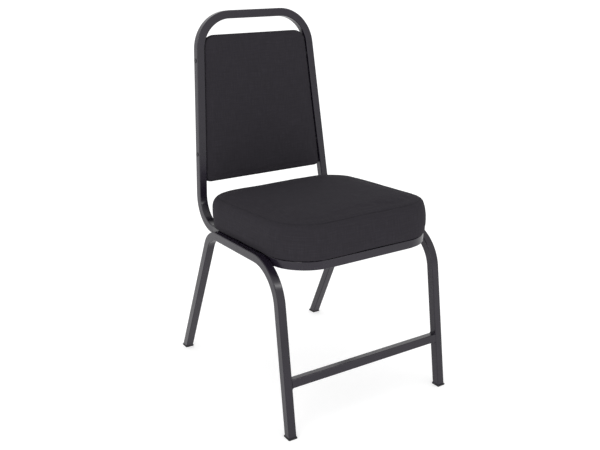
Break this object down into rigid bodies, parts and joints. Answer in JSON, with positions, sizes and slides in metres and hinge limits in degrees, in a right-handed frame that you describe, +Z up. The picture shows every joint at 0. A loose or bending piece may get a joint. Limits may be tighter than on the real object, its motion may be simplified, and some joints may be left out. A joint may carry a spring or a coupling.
{
  "type": "stacking chair",
  "caption": "Armless stacking chair: bent square-tube steel frame, thick box-cushion seat, padded back panel held inside a tubular hoop, and a front stretcher.",
  "frame": {"origin": "on the floor, midway between the four feet", "axes": "+Z up, -Y the way the sitter faces, +X across the chair"},
  "size_m": [0.4614, 0.5628, 0.89],
  "materials": {
    "frame_paint": "satin powder coat",
    "foot_plastic": "matte moulded",
    "seat_fabric": "fine plain weave",
    "back_fabric": "fine plain weave",
    "lining": "thin non-woven lining",
    "foam": "open-cell upholstery foam",
    "plywood": "unfinished plywood",
    "zinc": "zinc plated",
    "screw_black": "black-coated steel"
  },
  "bodies": {
    "root": {"back_hoop": "frame_paint", "seat_ring": "frame_paint", "leg_frame_left": "frame_paint", "leg_frame_right": "frame_paint", "front_stretcher": "frame_paint", "seat_brace_front": "frame_paint", "seat_brace_rear": "frame_paint", "weld_beads": "frame_paint", "foot_front_left": "foot_plastic", "foot_front_right": "foot_plastic", "foot_rear_left": "foot_plastic", "foot_rear_right": "foot_plastic", "seat_board": "plywood", "seat_foam": "foam", "seat_cover": "seat_fabric", "seat_underlining": "lining", "seat_staples": "zinc", "seat_screws": "zinc", "seat_washers": "zinc", "seat_tee_nuts": "zinc", "back_board": "plywood", "back_foam": "foam", "back_cover": "back_fabric", "back_screws": "screw_black", "back_spacers": "foot_plastic", "back_inserts": "zinc"}
  },
  "joints": []
}
